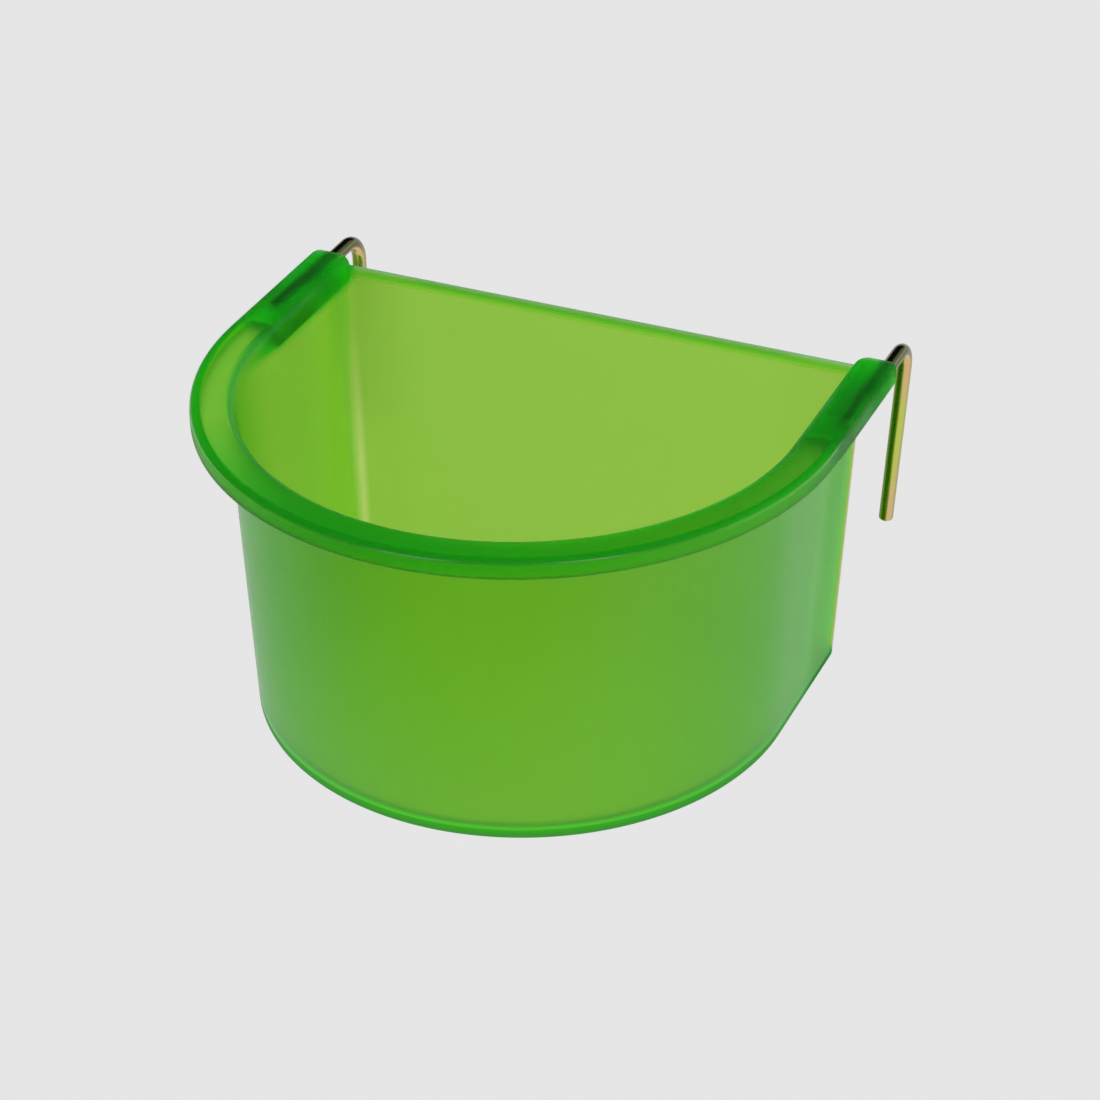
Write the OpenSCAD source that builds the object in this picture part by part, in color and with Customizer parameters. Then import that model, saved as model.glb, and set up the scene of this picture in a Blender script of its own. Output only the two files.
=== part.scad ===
// Half-round seed cup that hangs on the wires of a bird cage, in millimetres.
// One moulding of translucent plastic, and two bent wire hooks that turn in blind sockets in its rim.
// Seen in plan the cup is a D: a half circle in front (-Y) and two straight sides that run back (+Y).

/* [Rim] */
// Radius of the front curve, which is half the width over the rim
rim_r = 65; // [58:0.5:80]
// Height of the rim's top above the base
rim_h = 69.5; // [60:0.5:95]
// Length of the straight sides, from the centre of the front curve to the back of the cup
side_len = 37.2; // [37:0.1:60]
// Width of the rim, from its outer edge to the inside of the cup
flange_w = 8.8; // [8.2:0.1:11]
// Thickness of the rim's top
flange_t = 1.8; // [1.2:0.1:2.4]
// Height of the lip that hangs from the rim's outer edge
lip_h = 3.8; // [3:0.1:5]
// Thickness of that lip
lip_t = 2.2; // [1.7:0.1:4]
// Radius of the rim's outer top edge
rim_edge_r = 1.1; // [0.5:0.1:1.5]
// Radius of the rim's inner top edge
rim_inner_r = 2.4; // [1:0.1:2.6]
// Radius of the lip's two lower edges
lip_foot_r = 0.5; // [0.2:0.1:0.8]
// Radius of the corners at the rear ends of the rim, seen from above
arm_end_r = 2.2; // [1:0.1:2.5]

/* [Walls] */
// Thickness of the curved wall and the sides
wall_t = 1.6; // [1.2:0.1:2.2]
// Thickness of the back wall
back_t = 2.1; // [1.4:0.1:2.8]
// Thickness of the floor
floor_t = 1.6; // [1.2:0.1:2.6]
// Slope of the curved wall and the sides, in degrees from upright
side_draft = 1.9; // [0.5:0.1:3]
// Slope of the back wall, in degrees from upright
back_draft = 5; // [1:0.1:6]
// Height by which the back wall stops short of the rim's top
back_drop = 2.7; // [2:0.1:4]
// Radius of the bead along the inside of the back wall's top
bead_r = 0.7; // [0.4:0.1:0.9]
// Radius of the outer edge round the base
base_r = 1.4; // [0.6:0.1:2]
// Radius between the floor and the walls inside the cup
floor_r = 2.4; // [1:0.1:4]
// Radius of the two upright inside corners at the floor, where they are widest
corner_r = 2.8; // [1:0.1:4]

/* [Hook sockets] */
// Depth of each socket
socket_depth = 25.5; // [18:0.5:27]
// Solid plastic ahead of each socket, under the rim
socket_plug = 7.5; // [3:0.5:9]
// Thickness of the plastic round each socket
socket_wall = 1.35; // [1:0.05:1.5]
// Plastic over that round wall, up to the rim's top
socket_cover = 0.2; // [0.1:0.05:0.6]
// Space all round the wire in its socket
socket_clearance = 0.05; // [0.02:0.01:0.09]

/* [Hooks] */
// Diameter of the wire
wire_d = 3; // [2.5:0.1:3.4]
// Straight wire between the end of the rim and the bend
neck_len = 8.2; // [4:0.1:14]
// Radius of the bend, along the middle of the wire
bend_r = 5.7; // [3.5:0.1:8]
// Straight length of the leg below the bend
leg_len = 37; // [20:0.5:40]
// Size of the bevel at both ends of the wire
tip_bevel = 0.5; // [0.2:0.1:0.9]
// Space between the wire's inner end and the bottom of its socket
seat_gap = 0.5; // [0.3:0.1:1]
// How far the right hook is turned inwards from hanging straight down, in degrees
right_turn = 3.5; // [0:0.5:30]

/* [Hidden] */
$fn = 96;
// How far cuts run past the faces that they open
overrun = 1;
// Share that makes half of a size
half_share = 0.5;
body_r = rim_r - flange_w + wall_t;
wall_top = rim_h - back_drop;
wire_r = wire_d * half_share;
socket_r = wire_r + socket_clearance;
boss_r = socket_r + socket_wall;
boss_len = socket_depth + socket_plug;
hook_x = rim_r - boss_r;
hook_z = rim_h - socket_cover - boss_r;
hook_back = side_len + neck_len + bend_r + wire_r;
centre_y = (hook_back - rim_r) * half_share;

// Outer and inner radius of the curved wall at height z
function wall_out(z) = body_r - (rim_h - z) * tan(side_draft);
function wall_in(z) = wall_out(z) - wall_t;

// Outer and inner face of the back wall at height z
function back_out(z) = side_len - (wall_top - z) * tan(back_draft);
function back_in(z) = back_out(z) - back_t;

function unit(v) = v / norm(v);

// The area between the corner p, whose edges run towards a and b, and an arc of radius r that rounds it
module corner_piece(p, a, b, r) {
  u = unit(a - p);
  v = unit(b - p);
  half_angle = acos(u * v) * half_share;
  centre = p + unit(u + v) * r / sin(half_angle);
  difference() {
    polygon([p - unit(u + v) * overrun, p + u * r / tan(half_angle), centre, p + v * r / tan(half_angle)]);
    translate(centre) circle(r);
  }
}

// Sections through the front wall, with the radius along x and the height along y
module body_section() {
  difference() {
    polygon([[0, 0], [wall_out(0), 0], [wall_out(wall_top), wall_top], [0, wall_top]]);
    corner_piece([wall_out(0), 0], [0, 0], [wall_out(wall_top), wall_top], base_r);
  }
}

module rim_section() {
  inner = wall_in(wall_top) - overrun;
  under = rim_h - flange_t;
  foot = rim_h - lip_h;
  lip_in = rim_r - lip_t;
  difference() {
    polygon([
      [inner, wall_top], [wall_out(wall_top), wall_top], [wall_out(under), under], [lip_in, under],
      [lip_in, foot], [rim_r, foot], [rim_r, rim_h], [inner, rim_h]
    ]);
    corner_piece([rim_r, rim_h], [inner, rim_h], [rim_r, foot], rim_edge_r);
    corner_piece([rim_r, foot], [lip_in, foot], [rim_r, rim_h], lip_foot_r);
    corner_piece([lip_in, foot], [rim_r, foot], [lip_in, rim_h], lip_foot_r);
  }
}

module cavity_section() {
  top = rim_h + overrun;
  difference() {
    polygon([[0, floor_t], [wall_in(floor_t), floor_t], [wall_in(rim_h), rim_h], [wall_in(rim_h), top], [0, top]]);
    corner_piece([wall_in(floor_t), floor_t], [0, floor_t], [wall_in(rim_h), rim_h], floor_r);
  }
  corner_piece([wall_in(rim_h), rim_h], [wall_in(0), 0], [rim_r, rim_h], rim_inner_r);
}

// Outlines seen from the side, with y along x and the height along y
module body_side() {
  difference() {
    polygon([[-rim_r, 0], [back_out(0), 0], [back_out(wall_top), wall_top], [-rim_r, wall_top]]);
    corner_piece([back_out(0), 0], [-rim_r, 0], [back_out(wall_top), wall_top], base_r);
  }
}

module cavity_side() {
  top = rim_h + overrun;
  rear = side_len + overrun;
  difference() {
    polygon([
      [-rim_r, 0], [back_in(0), 0], [back_in(wall_top), wall_top],
      [rear, wall_top], [rear, top], [-rim_r, top]
    ]);
    translate([back_in(wall_top - bead_r), wall_top - bead_r]) circle(bead_r);
  }
}

// A section carried round the front curve and back along both sides
module d_solid(length) {
  rotate([0, 0, 180]) rotate_extrude(angle = 180) children(0);
  translate([0, length, 0]) rotate([90, 0, 0]) linear_extrude(length) {
    children(0);
    mirror([1, 0]) children(0);
  }
}

// A side outline carried across the middle, as far as reach to each side
module across(reach = rim_r + overrun) {
  translate([-reach, 0, 0]) rotate([90, 0, 90]) linear_extrude(2 * reach) children(0);
}

// Both sides of what is drawn for the right side
module both_sides() {
  children(0);
  mirror([1, 0, 0]) children(0);
}

module body() {
  intersection() {
    d_solid(side_len) body_section();
    across() body_side();
  }
}

module cavity() {
  intersection() {
    d_solid(side_len + overrun) cavity_section();
    across() cavity_side();
  }
}

// The round wall of one socket, joined to the side of the cup and to the rim above it
module boss() {
  translate([hook_x, side_len, hook_z]) rotate([90, 0, 0]) cylinder(h = boss_len, r = boss_r);
  web_x = wall_in(hook_z) + wall_t * half_share;
  web_bottom = hook_z - boss_r;
  translate([web_x, side_len - boss_len, web_bottom])
    cube([hook_x - web_x, boss_len, rim_h - flange_t * half_share - web_bottom]);
}

module socket() {
  translate([hook_x, side_len + overrun, hook_z])
    rotate([90, 0, 0]) cylinder(h = socket_depth + overrun, r = socket_r);
}

// Cuts that round the rear end of one side of the rim
module arm_end_cuts() {
  inner = wall_in(rim_h);
  low = hook_z - boss_r - overrun;
  translate([0, 0, low]) linear_extrude(rim_h + overrun - low)
    corner_piece([rim_r, side_len], [inner, side_len], [rim_r, 0], arm_end_r);
  translate([0, 0, wall_top]) linear_extrude(back_drop + overrun)
    corner_piece([inner, side_len], [rim_r, side_len], [inner, 0], arm_end_r);
}

// The fillet along the foot of the back wall inside the cup
module back_fillet() {
  across(wall_in(floor_t) + wall_t * half_share)
    corner_piece([back_in(floor_t), floor_t], [-rim_r, floor_t], [back_in(wall_top), wall_top], floor_r);
}

// The fillet in the right inside corner: a cone that starts sharp below the bead and widens to the floor
module corner_fillet() {
  side_normal = unit([-1, 0, tan(side_draft)]);
  back_normal = unit([0, -1, tan(back_draft)]);
  down = -unit(cross(side_normal, back_normal));
  inward = unit(side_normal + back_normal);
  start_z = wall_top - 2 * bead_r;
  start = [wall_in(start_z), back_in(start_z), start_z];
  run = (start_z - floor_t * half_share) / -down[2];
  spread = corner_r / (inward * side_normal) / run;
  axis = unit(down + inward * spread);
  length = run / (axis * down);
  half_angle = asin(axis * side_normal);
  side_line = axis - side_normal * (axis * side_normal);
  back_line = axis - back_normal * (axis * back_normal);
  difference() {
    polyhedron(
      points = [
        start, start + side_line * length, start + down * run - inward * wall_t * half_share,
        start + back_line * length, start + axis * length
      ],
      faces = [[0, 2, 1], [0, 3, 2], [0, 4, 3], [0, 1, 4], [1, 2, 4], [2, 3, 4]]
    );
    translate(start) rotate([0, acos(axis[2]), atan2(axis[1], axis[0])])
      cylinder(h = length + overrun, r1 = 0, r2 = (length + overrun) * tan(half_angle));
  }
}

// A round wire of length h up from the origin, bevelled at its top end
module wire(h) {
  cylinder(h = h - tip_bevel, r = wire_r);
  translate([0, 0, h - tip_bevel]) cylinder(h = tip_bevel, r1 = wire_r, r2 = wire_r - tip_bevel);
}

// One hook with its socket's mouth at the origin: back along +Y, round the bend and down
module hook() {
  seat_len = socket_depth - seat_gap;
  translate([0, neck_len, 0]) rotate([90, 0, 0]) wire(neck_len + seat_len);
  translate([0, neck_len, -bend_r]) rotate([90, 0, 90])
    rotate_extrude(angle = 90) translate([bend_r, 0]) circle(wire_r);
  translate([0, neck_len + bend_r, -bend_r]) mirror([0, 0, 1]) wire(leg_len);
}

module cup() {
  color([0.36, 0.7, 0.16]) translate([0, -centre_y, 0]) {
    difference() {
      union() {
        body();
        d_solid(side_len) rim_section();
        both_sides() boss();
      }
      cavity();
      both_sides() arm_end_cuts();
      across() corner_piece([side_len, rim_h], [0, rim_h], [side_len, 0], rim_edge_r);
      both_sides() socket();
    }
    back_fillet();
    both_sides() corner_fillet();
  }
}

module hook_left() {
  color([0.72, 0.64, 0.32]) translate([-hook_x, side_len - centre_y, hook_z]) hook();
}

module hook_right() {
  color([0.72, 0.64, 0.32])
    translate([hook_x, side_len - centre_y, hook_z]) rotate([0, right_turn, 0]) hook();
}

cup();
hook_left();
hook_right();
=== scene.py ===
# Seed cup with two wire hooks: frosted green plastic and yellow zinc plated wire
import math

import bmesh
import bpy
from mathutils import Matrix, Vector


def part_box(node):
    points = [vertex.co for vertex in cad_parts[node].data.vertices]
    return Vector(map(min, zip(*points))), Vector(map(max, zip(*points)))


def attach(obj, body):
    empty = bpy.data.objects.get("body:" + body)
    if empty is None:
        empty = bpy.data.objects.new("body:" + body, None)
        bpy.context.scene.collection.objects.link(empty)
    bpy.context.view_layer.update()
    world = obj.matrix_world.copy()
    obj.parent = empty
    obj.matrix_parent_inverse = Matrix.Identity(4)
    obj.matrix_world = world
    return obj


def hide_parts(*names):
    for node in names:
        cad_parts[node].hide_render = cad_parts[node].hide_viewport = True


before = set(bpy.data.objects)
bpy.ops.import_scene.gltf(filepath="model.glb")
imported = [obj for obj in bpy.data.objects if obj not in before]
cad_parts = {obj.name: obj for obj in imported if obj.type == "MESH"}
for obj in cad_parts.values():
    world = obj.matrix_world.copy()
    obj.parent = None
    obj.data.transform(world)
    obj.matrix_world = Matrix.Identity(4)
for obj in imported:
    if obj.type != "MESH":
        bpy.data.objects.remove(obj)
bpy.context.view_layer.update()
scene = bpy.context.scene
millimetre = 0.001
print("stage: frame loaded")

# Studio: camera, world and floor

studio = {
    "cameraPlace": (0.22666, -0.48009, 0.37096),  # metres
    "cameraAzimuth": 24.46,  # degrees, as the other three angles
    "cameraElevation": 32.36,
    "cameraRoll": -0.86,
    "cameraLens": 102.81,  # millimetres, as the sensor
    "cameraSensor": 36,
    "cameraReach": (0.01, 50),  # metres
    "backdrop": 0.787,  # what the camera sees behind the floor
    "horizonLight": 1.0,
    "horizonLow": 0.1,  # heights in the sky, from 0 at the horizon to 1 overhead
    "horizonHigh": 0.2,
    "overheadLight": 0.5,
    "overheadLow": 0.75,
    "overheadHigh": 0.85,
    "panels": [  # where it stands, how bright, and its soft edge in degrees from its middle
        ((0.69, 0.53, 0.375), 0.6, 25, 40),
        ((-0.23, -0.67, 0.71), 2.8, 7, 13),
        ((0.53, -0.46, 0.71), 2.8, 7, 13),
    ],
    "floorSize": 6.0,
    "floorColour": 0.0,
    "floorRoughness": 0.9,
    "floorSeen": 0.787,
    "floorGlow": 0.71,
    "contactShadow": 0.4,  # share of the glow that is lost in the painted contact shadow, as frontDark is towards the front
    "contactOuter": -1.0,  # millimetres in from the cup's foot
    "contactInner": 2.5,
    "contactEnd": 5.0,
    "frontDark": 0.8,
    "frontStart": -60,  # millimetres behind the front curve's centre
    "frontEnd": -120,
    "lightBounces": 40,  # light goes round many times inside the thick plastic
}


def makeCamera():
    data = bpy.data.cameras.new("photoCamera")
    data.lens = studio["cameraLens"]
    data.sensor_width = studio["cameraSensor"]
    data.clip_start, data.clip_end = studio["cameraReach"]
    camera = bpy.data.objects.new("photoCamera", data)
    scene.collection.objects.link(camera)
    turn = (
        Matrix.Rotation(math.radians(studio["cameraAzimuth"]), 4, "Z")
        @ Matrix.Rotation(math.radians(90 - studio["cameraElevation"]), 4, "X")
        @ Matrix.Rotation(math.radians(studio["cameraRoll"]), 4, "Z")
    )
    camera.matrix_world = Matrix.Translation(studio["cameraPlace"]) @ turn
    scene.camera = camera


# Shader sums: a socket that can be added, taken away and multiplied

class Socket:
    def __init__(self, graph, output):
        self.graph = graph
        self.output = output

    def __add__(self, other):
        return self.graph.maths("ADD", self, other)

    def __sub__(self, other):
        return self.graph.maths("SUBTRACT", self, other)

    def __rsub__(self, other):
        return self.graph.maths("SUBTRACT", other, self)

    def __mul__(self, other):
        return self.graph.maths("MULTIPLY", self, other)

    __radd__ = __add__
    __rmul__ = __mul__


class Graph:
    def __init__(self, tree):
        self.tree = tree

    def node(self, kind, settings=None, sockets=None):
        made = self.tree.nodes.new(kind)
        for name, value in (settings or {}).items():
            setattr(made, name, value)
        for name, value in (sockets or {}).items():
            self.feed(made.inputs[name], value)
        return made

    def feed(self, target, value):
        if isinstance(value, Socket):
            self.tree.links.new(value.output, target)
        else:
            target.default_value = value

    def out(self, kind, settings=None, sockets=None, output=0):
        return Socket(self, self.node(kind, settings, sockets).outputs[output])

    def maths(self, operation, first, second):
        return self.out("ShaderNodeMath", {"operation": operation}, {0: first, 1: second})

    def mix(self, factor, first, second):
        return self.out("ShaderNodeMix", {"data_type": "RGBA"}, {0: factor, 6: first, 7: second}, output=2)

    def band(self, value, low, high):
        return self.out("ShaderNodeMapRange", {"clamp": True}, {"Value": value, 1: low, 2: high, 3: 0, 4: 1})

    def noise(self, place, scale, detail):
        return self.out("ShaderNodeTexNoise", sockets={"Vector": place, "Scale": scale, "Detail": detail})

    def between(self, value, low, high, soft):
        return self.band(value, low - soft, low + soft) * (1 - self.band(value, high - soft, high + soft))


def grey(value):
    return (value, value, value, 1)


def makeWorld():
    # a bright horizon, a soft light overhead and a few panels, with dark between them
    world = bpy.data.worlds.new("studio")
    scene.world = world
    world.use_nodes = True
    graph = Graph(world.node_tree)
    direction = graph.out("ShaderNodeTexCoord", output="Generated")
    height = graph.out("ShaderNodeSeparateXYZ", sockets={0: direction}, output="Z")
    horizon = 1 - graph.band(height, studio["horizonLow"], studio["horizonHigh"])
    overhead = graph.band(height, studio["overheadLow"], studio["overheadHigh"])
    sky = studio["horizonLight"] * horizon + studio["overheadLight"] * overhead
    for panelPlace, light, inner, outer in studio["panels"]:
        toPanel = graph.out(
            "ShaderNodeVectorMath", {"operation": "DOT_PRODUCT"},
            {0: direction, 1: Vector(panelPlace).normalized()}, output="Value",
        )
        sky = sky + light * graph.band(toPanel, math.cos(math.radians(outer)), math.cos(math.radians(inner)))
    seen = graph.out("ShaderNodeLightPath", output="Is Camera Ray")
    background = world.node_tree.nodes["Background"]
    graph.feed(background.inputs["Strength"], sky + seen * (studio["backdrop"] - sky))
    background.inputs["Color"].default_value = grey(1)


def floorPaper():
    # an evenly lit sheet to the eye; its glow carries a painted contact shadow round the cup and is dimmer
    # towards the front
    paper = bpy.data.materials.new("floorPaper")
    paper.use_nodes = True
    graph = Graph(paper.node_tree)
    out, behind, _ = fromCentre(graph, graph.out("ShaderNodeTexCoord", output="Object"))
    inside = graph.maths("MINIMUM", wallOut(0) - out, backOut(0) - behind)
    # painted contact shadow: weaker glow in a ring from just outside the cup's foot to a few millimetres in
    contact = graph.band(inside, studio["contactOuter"], 0)
    contact = contact * (1 - graph.band(inside, studio["contactInner"], studio["contactEnd"]))
    front = graph.band(behind, studio["frontStart"], studio["frontEnd"])
    glow = studio["floorGlow"] * (1 - studio["contactShadow"] * contact) * (1 - studio["frontDark"] * front)
    seen = graph.out("ShaderNodeLightPath", output="Is Camera Ray")
    shader = paper.node_tree.nodes["Principled BSDF"]
    shader.inputs["Base Color"].default_value = grey(studio["floorColour"])
    shader.inputs["Roughness"].default_value = studio["floorRoughness"]
    shader.inputs["Specular IOR Level"].default_value = 0
    shader.inputs["Emission Color"].default_value = grey(1)
    graph.feed(shader.inputs["Emission Strength"], glow + seen * (studio["floorSeen"] - glow))
    return paper


def makeFloor():
    bm = bmesh.new()
    bmesh.ops.create_grid(bm, x_segments=1, y_segments=1, size=studio["floorSize"])
    mesh = bpy.data.meshes.new("floor")
    bm.to_mesh(mesh)
    bm.free()
    mesh.materials.append(floorPaper())
    floor = bpy.data.objects.new("floor", mesh)
    scene.collection.objects.link(floor)


# Materials

plastic = {
    "absorbColour": (0.80, 0.99, 0.485),
    "absorbDensity": 2000,  # per metre
    "roughness": 0.5,
    "index": 1.35,
    "cloudSize": 0.02,  # metres, as the grain's size and depth
    "cloudDetail": 3.0,
    "roughnessSpread": 0.04,
    "tintSpread": 0.04,
    "grainSize": 0.0004,
    "grainDetail": 2.0,
    "grainDepth": 0.00001,
    "soft": 0.2,  # millimetres, as every length below
    # gloss
    "wallCoat": 0.4,
    "edgeCoat": 1.0,
    "innerEdgeCoat": 0.2,
    "coatRoughness": 0.08,
    "outsideEdge": (0.6, 0.4),  # in from the outer face
    "outsideEnd": (4, 2),  # ahead of the back's outer face
    "edgeBelow": (0.75, 0.35),  # under the rim's top
    "edgeSoft": 0.1,
    # tint that each zone lets through, in the order in which they lie over one another
    "wallTint": (1.0, 0.84, 0.66),
    "backTint": (1.0, 0.8, 0.95),
    "backTopTint": (0.4, 0.74, 0.5),
    # painted shade: a deeper tint along the foot, for the shade where the cup stands on the floor
    "footTint": (0.04, 0.5, 0.35),
    "plateTint": (1.0, 1.0, 0.85),
    # painted shade: the plate is tinted deeper in front than at the sides, for the light that reaches it
    # there
    "frontPlateTint": (0.2, 1.0, 0.75),
    "innerEdgeTint": (0.25, 0.92, 0.7),
    "ringTint": (0.0, 0.72, 0.3),
    "lipTint": (1.0, 1.0, 1.0),
    "armInsideTint": (0.0, 0.68, 0.1),
    "armTint": (0.1, 0.74, 1.0),
    "armSideTint": (0.3, 1.0, 0.6),
    # painted light: the arms' ends are paler, for the light that comes through them
    "armEndTint": (0.5, 0.88, 0.8),
    "coreTint": (0.0, 0.56, 1.0),  # painted shade over the wire in its socket
    # where the zones lie
    "backEdge": 1.0,  # ahead of the back's inner face
    "backTopEdge": (0.5, 0.3),  # under the back's top
    "footEdge": (3, 2),  # in from the foot's outside
    "footHeight": 2.6,
    "plateAhead": (0.55, 0.95),  # shares of the front curve's radius
    "ringFrom": 62.9,  # out from the front curve's centre, as ringTo and armSideFrom
    "ringTo": 64.8,
    "armFrom": (1.0, 5.0),  # behind that centre
    "armSideFrom": (63.6, 64.8),
    "armEndLength": (3.5, 1.5),  # from the rear, faintest and strongest
    "armInsideStart": (22, 6),  # ahead of the boss
    "armInsideRise": 0.14,  # how fast it narrows there
    "armInsideEdge": 0.5,
    "armInsideSoft": 1.0,
    "coreWidth": 6.2,
    "coreInward": 0.5,  # from the socket's middle towards the cup
    "coreRear": 1.5,
    "coreSoft": (0.5, 0.4),  # at its sides and at its ends
    # upright corners: a painted highlight, a pale glowing line where their fillets would gather light, in a
    # rougher stretch of wall
    "cornerGlow": (0.17, 0.07, 0.08),
    "cornerGlowWidth": (0.2, 1.6),  # from the middle of the line
    "cornerGlowFront": (1.0, 2.0),  # ahead of the back's inner face
    "cornerGlowBack": (-0.5, -0.2),
    "cornerGlowTop": (0.35, 0.85),  # shares of the back's height
    "cornerLinePlace": 0.65,  # share of the fillet's radius
    "cornerRough": 0.3,
    "cornerReach": (10, 16),
}


def fromCentre(graph, place):
    # distances in millimetres: out from the front curve's centre, behind it, and up from the floor
    parts = graph.node("ShaderNodeSeparateXYZ", sockets={0: place})
    x, y, height = (Socket(graph, parts.outputs[name]) * (1 / millimetre) for name in "XYZ")
    behind = y - centreY
    ahead = graph.maths("MINIMUM", behind, 0)
    return graph.maths("POWER", x * x + ahead * ahead, 0.5), behind, height


def bodyZones(graph, out, behind, height):
    # the back, its top and the foot, where shade is painted, each from 0 to 1 as all zones are
    soft, wallEdge, footHeight = plastic["soft"], wallOut(rimTop), plastic["footHeight"]
    back = graph.band(behind, backIn(0) - plastic["backEdge"], backIn(0))
    back = back * (1 - graph.band(out, wallEdge - soft, wallEdge))
    # painted shade along the foot, low down and near its outside
    foot = graph.maths(
        "MAXIMUM",
        graph.band(out, *[wallOut(0) - inward for inward in plastic["footEdge"]]),
        graph.band(behind, *[backOut(0) - inward for inward in plastic["footEdge"]]),
    )
    return {
        "back": back,
        "backTop": back * graph.band(height, *[backTop - below for below in plastic["backTopEdge"]]),
        "foot": foot * (1 - graph.band(height, footHeight - soft, footHeight + soft)),
    }


def rimZones(graph, out, behind, height, onRim):
    soft, wallEdge = plastic["soft"], wallOut(rimTop)
    ringFrom, ringTo = plastic["ringFrom"], plastic["ringTo"]
    roundStart, roundFoot = rimRadius - cup["rimOuterRound"], rimTop - cup["rimInnerRound"]
    plate = graph.between(out, wallEdge, ringFrom, soft) * onRim
    innerEdge = graph.between(out, wallIn(rimTop) + 2 * soft, wallEdge, soft)
    edgeLow, edgeHigh = (rimTop - below for below in plastic["edgeBelow"])
    return {
        "plate": plate,
        # painted shade: the plate's front, tinted deeper
        "frontPlate": plate * graph.band(behind * (-1 / rimRadius), *plastic["plateAhead"]),
        "innerEdge": innerEdge * graph.band(height, roundFoot, roundFoot + 2 * soft),
        "ring": graph.between(out, ringFrom, ringTo, soft) * onRim,
        "lip": graph.band(out, ringTo - soft, ringTo + soft),
        "outerRound": graph.band(out, roundStart, roundStart + soft)
        * graph.between(height, edgeLow, edgeHigh, plastic["edgeSoft"]),
    }


def armZones(graph, out, behind, height):
    # the arms over the sockets, with their insides, outsides and ends, the ends with painted light, and
    # painted shade over the wires' cores
    soft, wallEdge = plastic["soft"], wallOut(rimTop)
    onArm = graph.band(out, wallEdge - soft, wallEdge + soft)
    arm = onArm * graph.band(behind, *plastic["armFrom"])
    rise = graph.maths("MINIMUM", behind - bossFront, 0) * plastic["armInsideRise"]
    edge, spread = plastic["armInsideEdge"], plastic["armInsideSoft"]
    inside = graph.band(out, wallIn(webBottom) - edge, wallIn(webBottom)) * (1 - onArm)
    inside = inside * graph.band(height + rise, webBottom - spread, webBottom + spread)
    coreMiddle, halfCore = bossX - plastic["coreInward"], plastic["coreWidth"] / 2
    sideSoft, endSoft = plastic["coreSoft"]
    core = graph.between(out, coreMiddle - halfCore, coreMiddle + halfCore, sideSoft)
    return {
        "arm": arm,
        "armSide": arm * graph.band(out, *plastic["armSideFrom"]),
        # painted light: paler over the last few millimetres of each arm
        "armEnd": arm * graph.band(behind, *[rear - far for far in plastic["armEndLength"]]),
        "armInside": inside * graph.band(behind, *[bossFront - far for far in plastic["armInsideStart"]]),
        # painted shade over the wire in its socket
        "core": core * graph.between(behind, rear - cup["socketDepth"], rear - plastic["coreRear"], endSoft),
    }


def cornerZones(graph, out, behind, height):
    # the rougher stretch beside each upright corner, and the painted highlight, a pale glowing line on its
    # fillet
    fromSide = wallIn(0) + height * math.tan(sideLean) - out
    fromBack = backIn(0) + height * math.tan(backLean) - behind
    filletRadius = cup["cornerRound"] * (1 - height * (1 / backTop))
    fromLine = graph.maths("ABSOLUTE", fromSide - plastic["cornerLinePlace"] * filletRadius, 0)
    line = 1 - graph.band(fromLine, *plastic["cornerGlowWidth"])
    line = line * (1 - graph.band(fromBack, *plastic["cornerGlowFront"]))
    line = line * graph.band(fromBack, *plastic["cornerGlowBack"])
    line = line * (1 - graph.band(height, *[share * backTop for share in plastic["cornerGlowTop"]]))
    beside = 1 - graph.band(fromSide, *plastic["cornerReach"])
    return {
        "corner": beside * (1 - graph.band(fromBack, *plastic["cornerReach"])),
        "cornerLine": line,
    }


def plasticZones(graph, place):
    out, behind, height = fromCentre(graph, place)
    lipFoot = rimTop - cup["lipHeight"]
    onRim = graph.band(height, lipFoot, lipFoot + 2 * plastic["soft"])
    zones = bodyZones(graph, out, behind, height)
    zones.update(rimZones(graph, out, behind, height, onRim))
    zones.update(armZones(graph, out, behind, height))
    zones.update(cornerZones(graph, out, behind, height))
    fromSide = out - height * math.tan(sideLean)
    fromBack = behind - height * math.tan(backLean)
    outside = graph.band(fromSide, *[wallOut(0) - inward for inward in plastic["outsideEdge"]])
    outside = outside * (1 - graph.band(fromBack, *[backOut(0) - ahead for ahead in plastic["outsideEnd"]]))
    zones["outside"] = outside * (1 - onRim) * (1 - zones["arm"]) * (1 - zones["foot"])
    return zones


def coatOf(graph, zones):
    # gloss on the outer wall and on the rim's two edges, but not on the arms
    edges = graph.maths(
        "MAXIMUM", plastic["innerEdgeCoat"] * zones["innerEdge"], plastic["edgeCoat"] * zones["outerRound"]
    )
    edges = edges * (1 - zones["arm"]) * (1 - zones["armInside"])
    return graph.maths("MAXIMUM", plastic["wallCoat"] * zones["outside"], edges)


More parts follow.
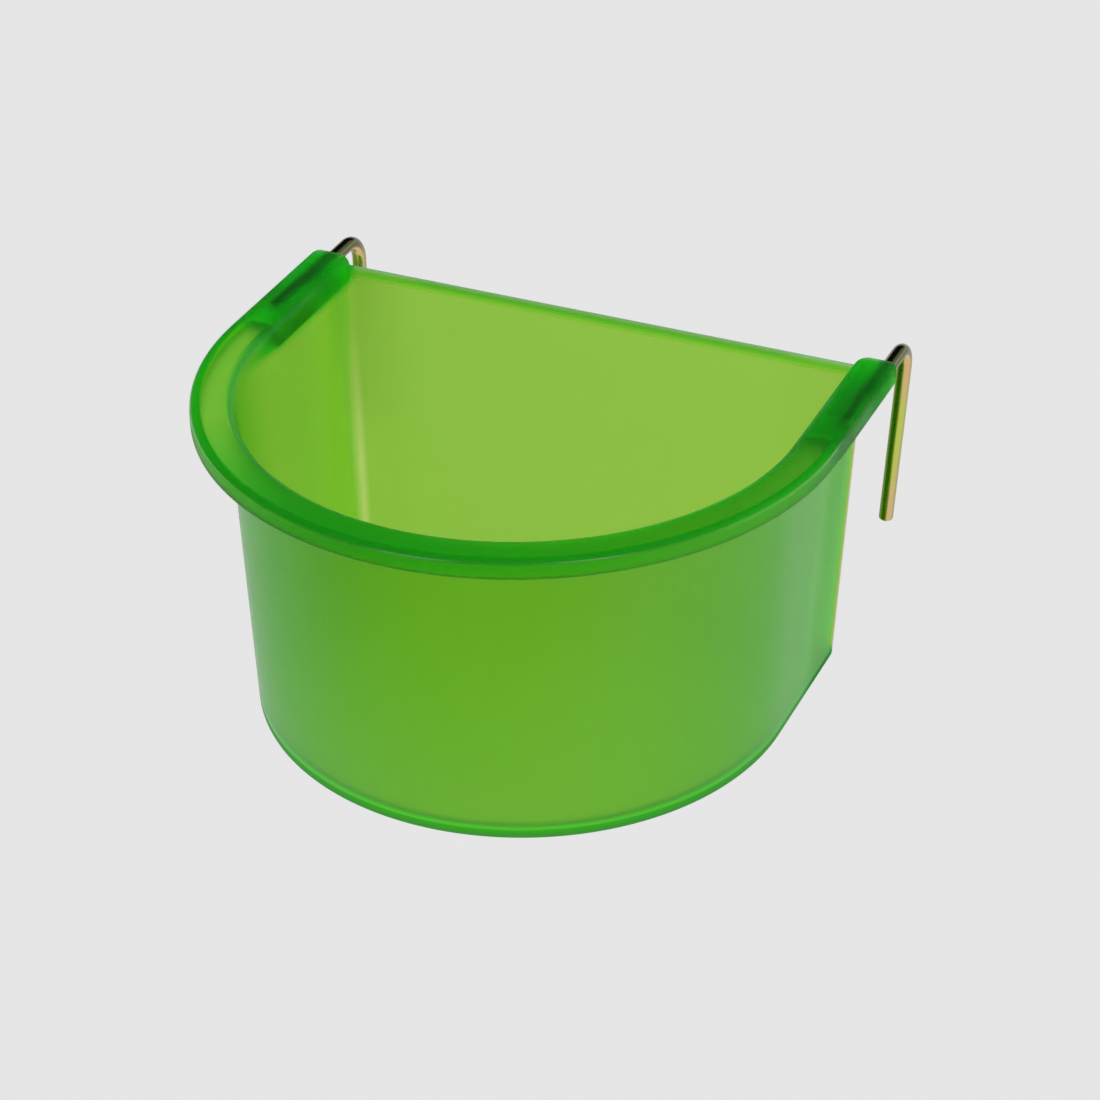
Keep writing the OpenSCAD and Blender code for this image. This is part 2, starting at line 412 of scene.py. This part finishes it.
def frostedPlastic():
    material = bpy.data.materials.new("frostedPlastic")
    material.use_nodes = True
    graph = Graph(material.node_tree)
    place = graph.out("ShaderNodeTexCoord", output="Object")
    clouds = graph.noise(place, 1 / plastic["cloudSize"], plastic["cloudDetail"])
    grain = graph.noise(place, 1 / plastic["grainSize"], plastic["grainDetail"])
    zones = plasticZones(graph, place)
    tint = plastic["wallTint"] + (1,)
    # the foot, the front plate and the core carry painted shade, the arm ends painted light
    for name in (
        "back", "backTop", "foot", "plate", "frontPlate", "innerEdge", "ring", "lip",
        "armInside", "arm", "armSide", "armEnd", "core",
    ):
        tint = graph.mix(zones[name], tint, plastic[f"{name}Tint"] + (1,))
    paler = graph.mix(clouds, tint, grey(1))
    shader = material.node_tree.nodes["Principled BSDF"]
    graph.feed(shader.inputs["Base Color"], graph.mix(plastic["tintSpread"], tint, paler))
    roughness = plastic["roughness"] + plastic["cornerRough"] * zones["corner"]
    graph.feed(shader.inputs["Roughness"], roughness + plastic["roughnessSpread"] * (clouds - 0.5))
    # painted highlight: emission along the pale line on each corner fillet
    glow = graph.mix(zones["cornerLine"], (0, 0, 0, 1), plastic["cornerGlow"] + (1,))
    graph.feed(shader.inputs["Emission Color"], glow)
    shader.inputs["Emission Strength"].default_value = 1
    shader.inputs["Transmission Weight"].default_value = 1
    shader.inputs["IOR"].default_value = plastic["index"]
    graph.feed(shader.inputs["Coat Weight"], coatOf(graph, zones))
    shader.inputs["Coat Roughness"].default_value = plastic["coatRoughness"]
    bump = graph.out(
        "ShaderNodeBump", sockets={"Height": grain, "Distance": plastic["grainDepth"], "Strength": 1.0}
    )
    graph.feed(shader.inputs["Normal"], bump)
    absorb = graph.out(
        "ShaderNodeVolumeAbsorption",
        sockets={"Color": plastic["absorbColour"] + (1,), "Density": plastic["absorbDensity"]},
    )
    graph.feed(material.node_tree.nodes["Material Output"].inputs["Volume"], absorb)
    return material


plating = {
    "gold": (0.66, 0.74, 0.13),
    "rose": (0.84, 0.6, 0.26),
    "olive": (0.17, 0.28, 0.015),
    # painted shade over the top of the neck
    "topShade": (0.15, 0.16, 0.07),
    "hidden": (0.36, 0.45, 0.24),  # in the socket
    "tan": (0.4, 0.38, 0.2),
    "filmSide": (0.91, 0.41),  # across the wire and outwards: the film lies on the other side
    "filmEdge": (-0.22, -0.05),  # shares of the wire's radius, as the painted top shade's edge
    "tanEdge": (0.5, 0.95),
    "topShadeEdge": (-0.5, -0.2),
    "topShadeEnd": (0.3, 0.75),  # shares of the bend, where the painted top shade gives way to bare plating
    "roseTip": (0.55, 0.85),  # shares of the leg
    "roseTop": (0.12, 0.3),
    "hiddenEdge": 0.5,  # millimetres into the socket
    "roughness": 0.2,
    "roughnessSpread": 0.08,
    "streakLength": 0.03,  # metres, as the other sizes below
    "streakWidth": 0.0012,
    "streakDepth": 0.00002,
    "streakDetail": 3.0,
    "streakStrength": 0.5,
    "streakWander": 0.4,  # how far the film's edge strays, in wire radii
    "blotchSize": 0.006,
    "blotchDetail": 2.0,
    "blotchWander": 0.3,
    "topShadeWander": 0.5,  # share of that, at the painted top shade's edge
}


def platedWire():
    # zinc plating with a passivated film, in zones that run along the wire, and painted shade over the top of
    # the neck
    material = bpy.data.materials.new("platedWire")
    material.use_nodes = True
    graph = Graph(material.node_tree)
    straight = graph.out("ShaderNodeAttribute", {"attribute_name": "straightPlace"}, output="Vector")
    parts = graph.node("ShaderNodeSeparateXYZ", sockets={0: straight})
    across, outward, along = (Socket(graph, parts.outputs[name]) for name in "XYZ")
    streakScale = 1 / plating["streakWidth"]
    streakPlace = graph.out(
        "ShaderNodeMapping",
        sockets={"Vector": straight, "Scale": (streakScale, streakScale, 1 / plating["streakLength"])},
    )
    streaks = graph.noise(streakPlace, 1.0, plating["streakDetail"])
    blotches = graph.noise(straight, 1 / plating["blotchSize"], plating["blotchDetail"])
    perRadius = 1 / (hook["wireRadius"] * millimetre)
    bendStart = (hook["insideLength"] + hook["neckLength"]) * millimetre
    bendLength = hook["bendRadius"] * math.pi / 2 * millimetre
    bent = (along - bendStart) * (1 / bendLength)
    down = (along - bendStart - bendLength) * (1 / (hook["legLength"] * millimetre))
    wander = plating["blotchWander"] * (blotches - 0.5)
    rose = graph.band(down + wander, *plating["roseTip"]) + 1 - graph.band(down + wander, *plating["roseTop"])
    plate = graph.mix(rose, plating["gold"] + (1,), plating["rose"] + (1,))
    sideways, outwards = plating["filmSide"]
    fromFilm = (sideways * across + outwards * outward) * perRadius
    fromFilm = fromFilm + plating["streakWander"] * (streaks - 0.5)
    plate = graph.mix(graph.band(fromFilm, *plating["filmEdge"]), plating["olive"] + (1,), plate)
    plate = graph.mix(graph.band(fromFilm, *plating["tanEdge"]), plate, plating["tan"] + (1,))
    # painted shade over the top of the wire, fading out along the bend
    topShade = graph.band(outward * perRadius + plating["topShadeWander"] * wander, *plating["topShadeEdge"])
    topShade = topShade * (1 - graph.band(bent + wander, *plating["topShadeEnd"]))
    plate = graph.mix(topShade, plate, plating["topShade"] + (1,))
    mouth = hook["insideLength"] * millimetre
    inSocket = graph.band(along, mouth, mouth - plating["hiddenEdge"] * millimetre)
    plate = graph.mix(inSocket, plate, plating["hidden"] + (1,))
    shader = material.node_tree.nodes["Principled BSDF"]
    graph.feed(shader.inputs["Base Color"], plate)
    shader.inputs["Metallic"].default_value = 1
    roughness = plating["roughness"] + plating["roughnessSpread"] * (streaks - 0.5)
    graph.feed(shader.inputs["Roughness"], roughness)
    bump = graph.out("ShaderNodeBump", sockets={
        "Height": streaks, "Distance": plating["streakDepth"], "Strength": plating["streakStrength"],
    })
    graph.feed(shader.inputs["Normal"], bump)
    return material


# Shared mesh work

shaping = {
    "sharpAngle": 35,  # degrees
    "mergeDistance": 0.002,  # millimetres
    "placeDigits": 7,  # decimals of a place that count in the order
}


def placeOf(element):
    # the middle of an element's vertices
    points = [element.co] if isinstance(element, bmesh.types.BMVert) else [v.co for v in element.verts]
    middle = [sum(along) / len(points) for along in zip(*points)]
    return [round(value, shaping["placeDigits"]) for value in middle]


def putInOrder(bm):
    # by place, because the extrusions don't leave the same order on every run
    for elements in (bm.verts, bm.edges, bm.faces):
        ranks = {element: rank for rank, element in enumerate(sorted(elements, key=placeOf))}
        elements.sort(key=ranks.get)


def endEdges(made, moved):
    # the far edges of an extrusion, which the next one starts from
    edges = [e for e in made if isinstance(e, bmesh.types.BMEdge) and moved.issuperset(e.verts)]
    return sorted(edges, key=placeOf)


def sweepRows(bm, stops, rowCount, pointAt):
    # a wire through the stops of the first row, extruded once for each other row
    stopLayer = bm.verts.layers.int.get("stop") or bm.verts.layers.int.new("stop")
    wire = []
    for number, stop in enumerate(stops):
        vertex = bm.verts.new(pointAt(0, stop))
        vertex[stopLayer] = number
        wire.append(vertex)
    edges = [bm.edges.new(pair) for pair in zip(wire, wire[1:])]
    for row in range(1, rowCount):
        made = bmesh.ops.extrude_edge_only(bm, edges=edges)["geom"]
        moved = {v for v in made if isinstance(v, bmesh.types.BMVert)}
        for vertex in moved:
            vertex.co = pointAt(row, stops[vertex[stopLayer]])
        edges = endEdges(made, moved)


def arcPoints(centreX, centreZ, radius, start, end, steps):
    turns = [math.radians(start + (end - start) * k / steps) for k in range(steps + 1)]
    return [(centreX + radius * math.cos(t), centreZ + radius * math.sin(t)) for t in turns]


def markSharp(bm):
    limit = math.radians(shaping["sharpAngle"])
    for edge in bm.edges:
        edge.smooth = len(edge.link_faces) != 2 or edge.calc_face_angle(0) < limit
    for face in bm.faces:
        face.smooth = True


def addPiece(bm, name, material, body, node):
    putInOrder(bm)
    mesh = bpy.data.meshes.new(name)
    bm.to_mesh(mesh)
    bm.free()
    mesh.materials.append(material)
    piece = bpy.data.objects.new(name, mesh)
    scene.collection.objects.link(piece)
    weighted = piece.modifiers.new("evenNormals", "WEIGHTED_NORMAL")
    weighted.keep_sharp = True
    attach(piece, body)
    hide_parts(node)


# Cup, drawn in millimetres with y = 0 at the centre of its front curve

cup = {
    "rimWidth": 8.8,
    "rimThick": 1.8,
    "lipHeight": 3.8,
    "lipThick": 2.2,
    "rimOuterRound": 1.1,
    "rimInnerRound": 2.4,
    "lipFootRound": 0.5,
    "armEndRound": 2.2,
    "wallThick": 1.6,
    "backThick": 2.1,
    "floorThick": 1.6,
    "sideSlope": 1.9,  # degrees
    "backSlope": 5.0,  # degrees
    "backDrop": 2.7,
    "beadRadius": 0.7,
    "baseRound": 1.4,
    "floorRound": 2.4,
    "cornerRound": 2.8,
    "rearEdgeRound": 0.4,
    "rearEdgeTaper": 0.2,  # how fast that closes where the foot turns in
    "bossRadius": 2.9,
    "bossLength": 33.0,
    "bossRamp": 0.6,
    "coverOverBoss": 0.2,
    "socketRadius": 1.55,
    "socketDepth": 25.5,
    "socketSides": 48,
    "plugOverrun": 1,  # how far the cutter stands out at the rear
    "frontSteps": 48,
    "backSteps": 6,
    "cornerSteps": 6,
    "footSteps": 6,
    "innerArcSteps": 7,
    "outerArcSteps": 6,
    "lipFootSteps": 4,
    "bossArcSteps": 10,
    "beadArc": (265, 90),  # degrees
    "beadSteps": 8,
    "sideStops": [24, 16, 10],
    "outerShares": (0.2, 0.4, 0.6, 0.8, 1),  # of the height up to the rim's underside
    "innerShares": (0.25, 0.5, 0.75),
}

cupLow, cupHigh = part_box("cup")
rimRadius = cupHigh.x / millimetre
rimTop = cupHigh.z / millimetre
centreY = cupLow.y / millimetre + rimRadius
rear = cupHigh.y / millimetre - centreY
backTop = rimTop - cup["backDrop"]
sideLean = math.radians(cup["sideSlope"])
backLean = math.radians(cup["backSlope"])
beadHeight = backTop - cup["beadRadius"]
bossX = rimRadius - cup["bossRadius"]
bossZ = rimTop - cup["coverOverBoss"] - cup["bossRadius"]
bossFront = rear - cup["bossLength"]
webBottom = bossZ - cup["bossRadius"]


def wallOut(z):
    return rimRadius - cup["rimWidth"] + cup["wallThick"] - (rimTop - z) * math.tan(sideLean)


def wallIn(z):
    return wallOut(z) - cup["wallThick"]


def backOut(z):
    return rear - (backTop - z) * math.tan(backLean)


def backIn(z):
    return backOut(z) - cup["backThick"]


def footed(wall, lean, level, radius):
    # how far out a wall is at a height, with a round where it meets the level
    centreZ = level + radius
    centre = wall(centreZ) - radius / math.cos(lean)
    touch = centreZ - radius * math.sin(lean)

    def reach(z):
        if z > touch:
            return wall(z)
        return centre + math.sqrt(max(0, radius**2 - (z - centreZ) ** 2))

    return reach


beadY = backIn(beadHeight)


def halfRing(sideStops):
    # stops round half of a D, from the middle of the back to the middle of the front
    backSteps, cornerSteps, frontSteps = cup["backSteps"], cup["cornerSteps"], cup["frontSteps"]
    stops = [("back", k / backSteps) for k in range(backSteps)]
    stops += [("corner", 90 * k / cornerSteps) for k in range(cornerSteps + 1)]
    stops += sideStops
    stops += [("side", y) for y in cup["sideStops"] + [bossFront + cup["bossRamp"], bossFront, 0]]
    return stops + [("front", 90 * k / frontSteps) for k in range(1, frontSteps + 1)]


def ringPoint(stop, radius, back, corner, z):
    kind, value = stop
    if kind == "back":
        return Vector((value * (radius - corner), back, z))
    if kind == "corner":
        turn = math.radians(value)
        return Vector((radius - corner * (1 - math.sin(turn)), back - corner * (1 - math.cos(turn)), z))
    if kind == "near":
        lastStop = cup["sideStops"][0]
        return Vector((radius, lastStop + value * (back - corner - lastStop), z))
    if kind == "side":
        return Vector((radius, value, z))
    turn = math.radians(value)
    return Vector((radius * math.cos(turn), -radius * math.sin(turn), z))


def armEndTurns():
    # one turn ends exactly at the outer face of the back wall, where the rim's underside meets it
    meet = math.degrees(math.asin((backOut(webBottom) - beadY) / (rear - beadY)))
    return [90, 75, meet, 45, 30, 15, 0]


def armEndY(turn):
    return beadY + (rear - beadY) * math.sin(math.radians(turn))


def footHeights(level, radius):
    # the heights of the rows round a foot, at even steps of its turn
    turns = [math.radians(90 * k / cup["footSteps"]) for k in range(cup["footSteps"] + 1)]
    return [level + radius * (1 - math.cos(turn)) for turn in turns]


def outerRows():
    # each row is a D: how far its sides, its back and its corner reach, and its height
    side = footed(wallOut, sideLean, 0, cup["baseRound"])
    back = footed(backOut, backLean, 0, cup["baseRound"])
    heights = footHeights(0, cup["baseRound"])
    heights += [webBottom * share for share in cup["outerShares"]]
    rows = []
    for z in heights:
        inset = backOut(z) - back(z)
        corner = max(0, cup["rearEdgeRound"] * (1 - z / webBottom) - cup["rearEdgeTaper"] * inset)
        rows.append((side(z), back(z), corner, z))
    return rows


def innerRows():
    side = footed(wallIn, sideLean, cup["floorThick"], cup["floorRound"])
    back = footed(backIn, backLean, cup["floorThick"], cup["floorRound"])
    start = backTop - 2 * cup["beadRadius"]
    floorTop = cup["floorThick"]
    heights = footHeights(floorTop, cup["floorRound"])
    heights += [floorTop + (start - floorTop) * share for share in cup["innerShares"]]
    rows = []
    for z in heights:
        spread = cup["cornerRound"] * (start - z) / (start - floorTop / 2)
        rows.append((side(z), back(z), spread - (wallIn(z) - side(z)), z))
    bead = arcPoints(beadY, beadHeight, cup["beadRadius"], *cup["beadArc"], cup["beadSteps"])
    return rows + [(wallIn(z), y, 0, z) for y, z in bead]


def rimSections():
    # the rim's section from the inside of the wall over the top to the outside of the wall,
    # once with the open channel under it and once with the boss of a socket
    innerRound, outerRound, footRound = cup["rimInnerRound"], cup["rimOuterRound"], cup["lipFootRound"]
    foot = rimTop - cup["lipHeight"]
    lipIn = rimRadius - cup["lipThick"]
    under = rimTop - cup["rimThick"]
    innerCentre = wallIn(rimTop - innerRound) + innerRound / math.cos(sideLean)
    inner = [(wallIn(backTop), backTop)]
    innerStart = 180 - cup["sideSlope"]
    inner += arcPoints(innerCentre, rimTop - innerRound, innerRound, innerStart, 90, cup["innerArcSteps"])
    outer = arcPoints(rimRadius - outerRound, rimTop - outerRound, outerRound, 90, 0, cup["outerArcSteps"])
    footSteps = cup["lipFootSteps"]
    channel = arcPoints(rimRadius - footRound, foot + footRound, footRound, 0, -90, footSteps)
    channel += arcPoints(lipIn + footRound, foot + footRound, footRound, -90, -180, footSteps)
    channel += [(lipIn, under), (wallOut(under), under), (wallOut(webBottom), webBottom)]
    boss = arcPoints(bossX, bossZ, cup["bossRadius"], 0, -90, cup["bossArcSteps"])
    boss += [((bossX + wallOut(webBottom)) / 2, webBottom), (wallOut(webBottom), webBottom)]
    return len(inner), len(inner + outer), inner + outer + channel, inner + outer + boss


innerCount, topCount, channelSection, bossSection = rimSections()


def rimPoint(row, stop):
    kind, value = stop
    if kind == "front":
        radius, z = channelSection[row]
        return ringPoint(stop, radius, 0, 0, z)
    if kind == "side":
        radius, z = channelSection[row] if value <= bossFront else bossSection[row]
        return Vector((radius, value, z))
    return armEndPoint(value, row)


def armEndPoint(value, row):
    # the last stretch of an arm, rounded as seen from above and over its rear top edge
    x, z = bossSection[row]
    y = armEndY(value)
    inset = cup["armEndRound"] * (1 - math.cos(math.radians(value)))
    if row < innerCount:
        x += inset
    elif row < topCount:
        x -= inset
    else:
        x = min(x, rimRadius - inset)
    shoulder = rimTop - cup["rimOuterRound"]
    over = max(0, (y - rear) / cup["rimOuterRound"] + 1)
    if z > shoulder:
        z = shoulder + (z - shoulder) * math.sqrt(max(0, 1 - over**2))
    return Vector((x, y, z))


def backTopPoint(row, stop):
    # from the rim's underside up the back wall's outside and forward over its flat top
    share = stop[1]
    if row == 0:
        return Vector((share * wallOut(webBottom), backOut(webBottom), webBottom))
    end = armEndPoint(armEndTurns()[row - 1], 0)
    return Vector((share * end.x, end.y, end.z))


def buildCupHalf(bm):
    outer, inner = outerRows(), innerRows()
    lastStop = cup["sideStops"][0]
    span = backOut(webBottom) - lastStop
    near = [("near", (armEndY(turn) - lastStop) / span) for turn in armEndTurns()[3:]]
    sweepRows(bm, halfRing(near), len(outer), lambda row, stop: ringPoint(stop, *outer[row]))
    sweepRows(bm, halfRing([]), len(inner), lambda row, stop: ringPoint(stop, *inner[row]))
    arm = [("end", turn) for turn in armEndTurns()]
    arm += [stop for stop in halfRing([]) if stop[0] in ("side", "front")]
    sweepRows(bm, arm, len(bossSection), rimPoint)
    backStops = [("back", k / cup["backSteps"]) for k in range(cup["backSteps"] + 1)]
    sweepRows(bm, backStops, len(armEndTurns()) + 1, backTopPoint)


def vertexAt(bm, place):
    return min(bm.verts, key=lambda vertex: (vertex.co - Vector(place)).length)


def buildCup():
    bm = bmesh.new()
    merge = shaping["mergeDistance"]
    buildCupHalf(bm)
    bmesh.ops.remove_doubles(bm, verts=bm.verts, dist=merge)
    geometry = list(bm.verts) + list(bm.edges) + list(bm.faces)
    bmesh.ops.mirror(bm, geom=geometry, matrix=Matrix(), merge_dist=merge, axis="X")
    bmesh.ops.remove_doubles(bm, verts=bm.verts, dist=merge)
    putInOrder(bm)
    bmesh.ops.holes_fill(bm, edges=[e for e in bm.edges if e.is_boundary], sides=0)  # base, floor, arm ends
    for side in (-1, 1):
        webCorner = vertexAt(bm, (side * wallOut(webBottom), rear, webBottom))
        topCorner = vertexAt(bm, (side * (wallIn(backTop) + cup["armEndRound"]), rear, backTop))
        bmesh.ops.connect_verts(bm, verts=[webCorner, topCorner])
    bmesh.ops.recalc_face_normals(bm, faces=bm.faces)
    return bm


def socketPlugs():
    bm = bmesh.new()
    radius, overrun = cup["socketRadius"], cup["plugOverrun"]
    for side in (-1, 1):
        plug = bmesh.ops.create_cone(
            bm, cap_ends=True, segments=cup["socketSides"], radius1=radius, radius2=radius,
            depth=cup["socketDepth"] + overrun,
        )["verts"]
        bmesh.ops.rotate(bm, verts=plug, matrix=Matrix.Rotation(math.radians(90), 3, "X"))
        middle = rear + (overrun - cup["socketDepth"]) / 2
        bmesh.ops.translate(bm, verts=plug, vec=(side * bossX, middle, bossZ))
    return bm


def cutAway(bm, cutter):
    # an exact boolean difference of two closed meshes
    parts = []
    for source in (bm, cutter):
        mesh = bpy.data.meshes.new("draft")
        source.to_mesh(mesh)
        source.free()
        part = bpy.data.objects.new("draft", mesh)
        scene.collection.objects.link(part)
        parts.append(part)
    cut = parts[0].modifiers.new("cut", "BOOLEAN")
    cut.operation = "DIFFERENCE"
    cut.solver = "EXACT"
    cut.object = parts[1]
    solid = parts[0].evaluated_get(bpy.context.evaluated_depsgraph_get())
    result = bmesh.new()
    result.from_mesh(solid.to_mesh())
    for part in parts:
        bpy.data.meshes.remove(part.data)
    return result


# Hooks, drawn in millimetres with the socket's mouth at the origin

hook = {
    "wireRadius": 1.5,
    "insideLength": 25.0,
    "neckLength": 8.2,
    "bendRadius": 5.7,
    "straightSteps": 4,
    "bendSteps": 18,
    "legSteps": 8,
    "legLength": 37.0,
    "tipBevel": 0.5,
    "tipBevelSteps": 3,
    "sides": 32,
    "rightTurn": 3.5,  # degrees
}


def wireSteps():
    # how the end ring of the wire moves, step by step
    for length in (hook["insideLength"], hook["neckLength"]):
        step = length / hook["straightSteps"]
        for _ in range(hook["straightSteps"]):
            yield step, Matrix.Translation((0, step, 0))
    bendAngle = math.radians(90 / hook["bendSteps"])
    centre = Matrix.Translation((0, hook["neckLength"], -hook["bendRadius"]))
    for _ in range(hook["bendSteps"]):
        yield hook["bendRadius"] * bendAngle, centre @ Matrix.Rotation(-bendAngle, 4, "X") @ centre.inverted()
    step = hook["legLength"] / hook["legSteps"]
    for _ in range(hook["legSteps"]):
        yield step, Matrix.Translation((0, 0, -step))


def buildHook(turn):
    bm = bmesh.new()
    place = bm.verts.layers.float_vector.new("straightPlace")
    circle = bmesh.ops.create_circle(bm, cap_ends=True, segments=hook["sides"], radius=hook["wireRadius"])
    ring = circle["verts"]
    for vertex in ring:
        vertex[place] = vertex.co * millimetre
    bmesh.ops.rotate(bm, verts=ring, matrix=Matrix.Rotation(math.radians(90), 3, "X"))
    bmesh.ops.translate(bm, verts=ring, vec=(0, -hook["insideLength"], 0))
    edges = list(bm.edges)
    tipEdges = list(edges)
    along = 0
    for length, move in wireSteps():
        made = bmesh.ops.extrude_edge_only(bm, edges=edges)["geom"]
        moved = {v for v in made if isinstance(v, bmesh.types.BMVert)}
        bmesh.ops.transform(bm, matrix=move, verts=list(moved))
        along += length * millimetre
        for vertex in moved:
            vertex[place] = (vertex[place].x, vertex[place].y, along)
        edges = endEdges(made, moved)
    bmesh.ops.contextual_create(bm, geom=edges)
    bmesh.ops.bevel(
        bm, geom=tipEdges + edges, offset=hook["tipBevel"], segments=hook["tipBevelSteps"],
        profile=0.5, affect="EDGES", material=-1,
    )
    bmesh.ops.recalc_face_normals(bm, faces=bm.faces)
    bmesh.ops.rotate(bm, verts=bm.verts, matrix=Matrix.Rotation(math.radians(turn), 3, "Y"))
    return bm


def toFrame(bm):
    # from millimetres about the front curve's centre to metres in the frame
    bmesh.ops.transform(
        bm, verts=bm.verts,
        matrix=Matrix.Scale(millimetre, 4) @ Matrix.Translation((0, centreY, 0)),
    )


def addCup():
    bm = cutAway(buildCup(), socketPlugs())
    toFrame(bm)
    markSharp(bm)
    addPiece(bm, "cupShell", frostedPlastic(), "cup", "cup")


def addHooks():
    finish = platedWire()
    for name, side, turn in (("left", -1, 0), ("right", 1, hook["rightTurn"])):
        bm = buildHook(turn)
        bmesh.ops.translate(bm, verts=bm.verts, vec=(side * bossX, rear, bossZ))
        toFrame(bm)
        markSharp(bm)
        addPiece(bm, f"{name}HookWire", finish, f"hook_{name}", f"hook_{name}")


makeCamera()
makeWorld()
makeFloor()
scene.view_settings.view_transform = "Standard"
for kind in ("max", "glossy", "transmission", "diffuse"):
    setattr(scene.cycles, f"{kind}_bounces", studio["lightBounces"])
print("stage: studio ready")
addCup()
print("stage: cup ready")
addHooks()
print("stage: hooks ready")
